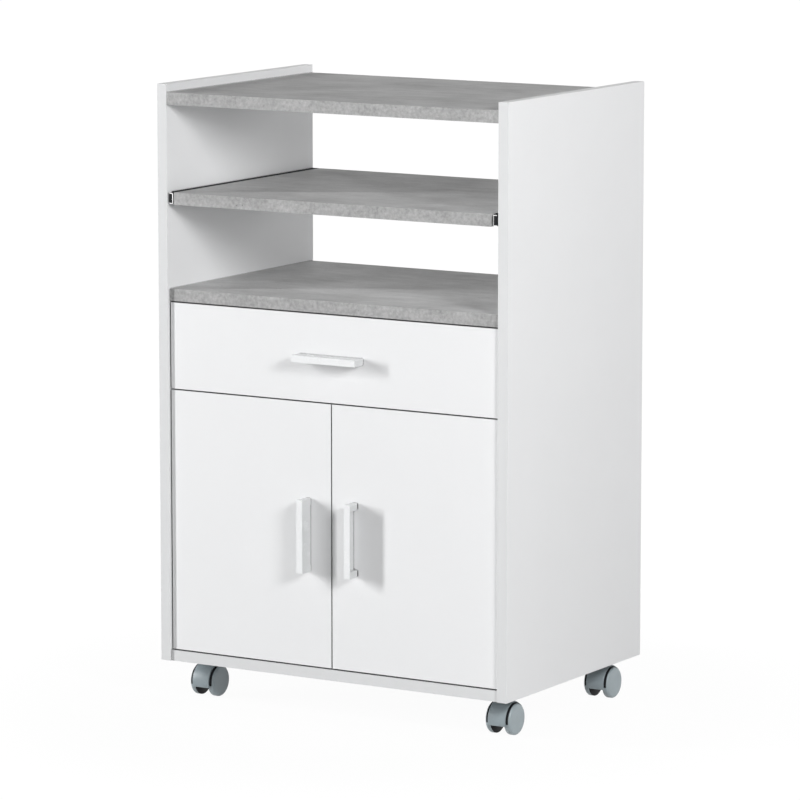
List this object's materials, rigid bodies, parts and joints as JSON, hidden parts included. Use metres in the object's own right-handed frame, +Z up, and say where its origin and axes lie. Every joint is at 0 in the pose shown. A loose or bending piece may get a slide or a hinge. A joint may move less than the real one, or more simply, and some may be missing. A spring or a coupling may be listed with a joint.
{
  "type": "microwave cart",
  "caption": "Kitchen microwave cart on casters, with open shelves, a pull-out shelf, a drawer and a cupboard with two doors.",
  "frame": {"origin": "on the floor, under the middle of the cart", "axes": "+Z up, -Y towards the front with the doors, +X to the right seen from the front"},
  "size_m": [0.59, 0.419, 0.917],
  "materials": {
    "white_board": "white melamine-faced chipboard with edge band, satin",
    "grey_board": "chipboard with a matt concrete-look laminate",
    "hardboard": "thin hardboard, white on its inner face",
    "beech": "raw beech",
    "zinc_steel": "bright zinc plating",
    "slide_steel": "cold-rolled steel with black zinc plating",
    "hinge_nickel": "nickel-plated steel",
    "black_plastic": "moulded, matt",
    "handle_white": "smooth white, semi-gloss",
    "caster_plastic": "moulded blue-grey nylon, satin",
    "wheel_plastic": "moulded blue-grey nylon, satin"
  },
  "bodies": {
    "cabinet": {"side_panel_left": "white_board", "side_panel_right": "white_board", "top_shelf": "grey_board", "fixed_shelf": "grey_board", "bottom_panel": "white_board", "front_rail": "white_board", "back_panel": "hardboard", "inner_shelf": "white_board", "shelf_pins": "zinc_steel", "dowels": "beech", "cam_locks": "zinc_steel", "cam_bolts": "zinc_steel", "back_screws": "zinc_steel", "cabinet_screws": "zinc_steel", "door_stop": "white_board", "shelf_rail_left": "slide_steel", "shelf_rail_right": "slide_steel", "drawer_rail_left": "slide_steel", "drawer_rail_right": "slide_steel", "hinge_arms_left": "hinge_nickel", "hinge_arms_right": "hinge_nickel", "hinge_plates": "hinge_nickel", "caster_plates": "zinc_steel", "caster_screws": "zinc_steel"},
    "shelf": {"pull_out_shelf": "grey_board", "shelf_runner_left": "slide_steel", "shelf_runner_right": "slide_steel", "shelf_bumpers": "black_plastic", "shelf_screws": "zinc_steel"},
    "shelf_cages": {"shelf_ball_cages": "slide_steel"},
    "drawer": {"drawer_front": "white_board", "drawer_side_left": "white_board", "drawer_side_right": "white_board", "drawer_back": "white_board", "drawer_bottom": "hardboard", "drawer_dowels": "beech", "drawer_screws": "zinc_steel", "drawer_handle": "handle_white", "drawer_handle_screws": "zinc_steel", "drawer_runner_left": "slide_steel", "drawer_runner_right": "slide_steel"},
    "drawer_cages": {"drawer_ball_cages": "slide_steel"},
    "left_door": {"door_left": "white_board", "door_handle_left": "handle_white", "door_handle_screws_left": "zinc_steel", "hinge_cups_left": "hinge_nickel", "hinge_cup_screws_left": "zinc_steel"},
    "right_door": {"door_right": "white_board", "door_handle_right": "handle_white", "door_handle_screws_right": "zinc_steel", "hinge_cups_right": "hinge_nickel", "hinge_cup_screws_right": "zinc_steel"},
    "fork_front_left": {"caster_fork_front_left": "caster_plastic"},
    "wheels_front_left": {"caster_wheels_front_left": "wheel_plastic"},
    "fork_front_right": {"caster_fork_front_right": "caster_plastic"},
    "wheels_front_right": {"caster_wheels_front_right": "wheel_plastic"},
    "fork_back_left": {"caster_fork_back_left": "caster_plastic"},
    "wheels_back_left": {"caster_wheels_back_left": "wheel_plastic"},
    "fork_back_right": {"caster_fork_back_right": "caster_plastic"},
    "wheels_back_right": {"caster_wheels_back_right": "wheel_plastic"}
  },
  "joints": [
    {"name": "shelf_slide", "type": "slide", "parent": "cabinet", "child": "shelf", "axis": [0, -1, 0], "range_m": [0, 0.23]},
    {"name": "shelf_cage_slide", "type": "slide", "parent": "cabinet", "child": "shelf_cages", "axis": [0, -1, 0], "range_m": [0, 0.115]},
    {"name": "drawer_slide", "type": "slide", "parent": "cabinet", "child": "drawer", "axis": [0, -1, 0], "range_m": [0, 0.23]},
    {"name": "drawer_cage_slide", "type": "slide", "parent": "cabinet", "child": "drawer_cages", "axis": [0, -1, 0], "range_m": [0, 0.115]},
    {"name": "left_door_hinge", "type": "hinge", "parent": "cabinet", "child": "left_door", "pos_m": [-0.2575, -0.1775, 0.27], "axis": [0, 0, -1], "range_deg": [0, 100]},
    {"name": "right_door_hinge", "type": "hinge", "parent": "cabinet", "child": "right_door", "pos_m": [0.2575, -0.1775, 0.27], "axis": [0, 0, 1], "range_deg": [0, 100]},
    {"name": "swivel_front_left", "type": "hinge", "parent": "cabinet", "child": "fork_front_left", "pos_m": [-0.254, -0.1085, 0.05], "axis": [0, 0, 1], "continuous": true},
    {"name": "wheel_spin_front_left", "type": "hinge", "parent": "fork_front_left", "child": "wheels_front_left", "pos_m": [-0.254, -0.1225, 0.023], "axis": [1, 0, 0], "continuous": true},
    {"name": "swivel_front_right", "type": "hinge", "parent": "cabinet", "child": "fork_front_right", "pos_m": [0.254, -0.1085, 0.05], "axis": [0, 0, 1], "continuous": true},
    {"name": "wheel_spin_front_right", "type": "hinge", "parent": "fork_front_right", "child": "wheels_front_right", "pos_m": [0.254, -0.1225, 0.023], "axis": [1, 0, 0], "continuous": true},
    {"name": "swivel_back_left", "type": "hinge", "parent": "cabinet", "child": "fork_back_left", "pos_m": [-0.254, 0.1835, 0.05], "axis": [0, 0, 1], "continuous": true},
    {"name": "wheel_spin_back_left", "type": "hinge", "parent": "fork_back_left", "child": "wheels_back_left", "pos_m": [-0.254, 0.1695, 0.023], "axis": [1, 0, 0], "continuous": true},
    {"name": "swivel_back_right", "type": "hinge", "parent": "cabinet", "child": "fork_back_right", "pos_m": [0.254, 0.1835, 0.05], "axis": [0, 0, 1], "continuous": true},
    {"name": "wheel_spin_back_right", "type": "hinge", "parent": "fork_back_right", "child": "wheels_back_right", "pos_m": [0.254, 0.1695, 0.023], "axis": [1, 0, 0], "continuous": true}
  ],
  "couplings": [
    {"joint": "shelf_cage_slide", "follows": "shelf_slide", "ratio": 0.5},
    {"joint": "drawer_cage_slide", "follows": "drawer_slide", "ratio": 0.5}
  ]
}
